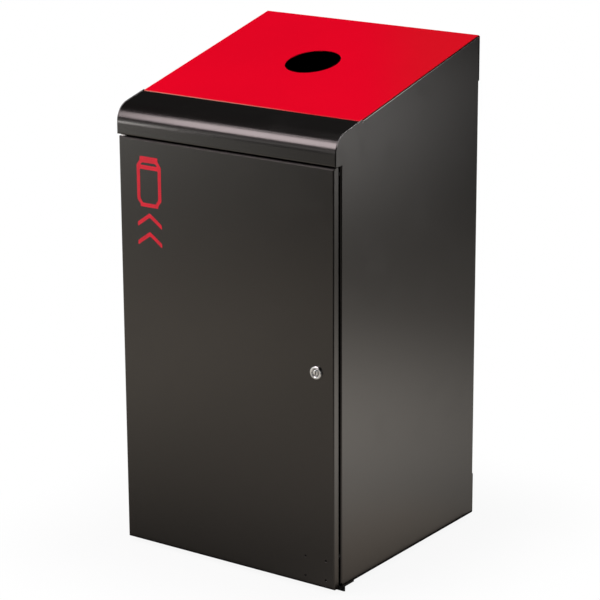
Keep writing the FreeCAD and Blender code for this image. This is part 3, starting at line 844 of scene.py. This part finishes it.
# %% Floor material
rays = add(floor_tree, "ShaderNodeLightPath").outputs
seen = blended(floor_tree, rays["Is Camera Ray"], mirrored, (1, 1, 1, 1))
glow = add(floor_tree, "ShaderNodeEmission", {"Color": seen, "Strength": 1.0}).outputs[0]
matt = add(floor_tree, "ShaderNodeBsdfDiffuse", {"Color": (0.88, 0.88, 0.88, 1)}).outputs[0]
out_of_shadow = remap(floor_tree, clear, 0.0, 0.3, 0.92, 1.0)
white = math_node(floor_tree, "MULTIPLY", rays["Is Camera Ray"], out_of_shadow)
for kind in ("Is Glossy Ray", "Is Transmission Ray"):
    white = math_node(floor_tree, "ADD", white, rays[kind], clamp=True)
floor_mix = add(floor_tree, "ShaderNodeMixShader", {0: white, 1: matt, 2: glow}).outputs[0]
floor_tree.links.new(floor_mix, floor_tree.nodes["Material Output"].inputs["Surface"])
print("floor material with", len(floor_tree.nodes), "nodes")

# %% [markdown]
# ## Light
# A bright band along the rounded nose is the most telling reflection in the photograph. It mirrors
# a large softbox in front of the bin, to the left and above, with a dimmer one over it that softens
# the band's upper border. A narrow strip lamp low on the left draws the thin second line on the
# nose, and a lamp behind on the right draws the pale line along the bend beside the lid. A softbox
# overhead lights the lid.

# %% Softboxes
def softbox(name, place, aim, width, height, radiance, colour=(1, 1, 1), roll=0.0):
    """Area lamp whose surface has the given radiance, rolled by an angle in degrees."""
    lamp = bpy.data.lights.new(name, "AREA")
    lamp.shape = "RECTANGLE"
    lamp.size = width
    lamp.size_y = height
    lamp.color = colour
    lamp.energy = radiance * width * height * math.pi
    box = new_object(name, lamp)
    box.location = place
    box.rotation_mode = "QUATERNION"
    facing = (Vector(aim) - Vector(place)).to_track_quat("-Z", "Y")
    box.rotation_quaternion = facing @ Quaternion((0, 0, 1), math.radians(roll))


rosy = (1.0, 0.9, 0.95)
softbox("key softbox", (-0.83, -1.61, 1.83), (0.0, -0.17, 0.68), 1.3, 0.98, 6.2, rosy, roll=16.5)
softbox("upper key", (-1.09, -1.02, 2.285), (0.2, -0.19, 0.70), 0.45, 0.2, 3.7, rosy, roll=52)
softbox("top softbox", (0.05, -0.1, 2.6), (0.05, -0.1, 0.0), 1.4, 1.4, 3.93)
softbox("edge lamp", (0.88, 0.585, 1.186), (0.2, -0.13, 0.705), 0.3, 0.45, 7.2)
softbox("strip lamp", (-1.22, -1.36, 0.57), (-0.19, -0.195, 0.67), 0.3, 0.12, 8.5)

# %% [markdown]
# ## Sky
# A dim sky, pale at the horizon and dark overhead, fills what the lamps leave. The camera sees it
# white, like the floor.

# %% Sky
horizon = 0.8
overhead = 0.02
world = bpy.data.worlds.new("sky")
world.use_nodes = True
bpy.context.scene.world = world
sky_tree = world.node_tree
sky = sky_tree.nodes["Background"]
sky_way = add(sky_tree, "ShaderNodeTexCoord").outputs["Generated"]
sky_height = add(sky_tree, "ShaderNodeSeparateXYZ", {0: sky_way}).outputs["Z"]
sky_level = remap(sky_tree, sky_height, 0.02, 0.25, horizon, overhead)
sky_rays = add(sky_tree, "ShaderNodeLightPath").outputs
sky_mix = {"Factor": sky_rays["Is Camera Ray"], "A": sky_level, "B": 1.0}
sky_seen = add(sky_tree, "ShaderNodeMix", sky_mix).outputs["Result"]
sky_tree.links.new(sky_seen, sky.inputs["Strength"])
sky.inputs["Color"].default_value = (1, 1, 1, 1)
print("sky from", horizon, "at the horizon to", overhead, "overhead")

# %% [markdown]
# ## Finish
# Colours are shown as they are, without a film look.

# %% Finish
bpy.context.scene.view_settings.view_transform = "Standard"
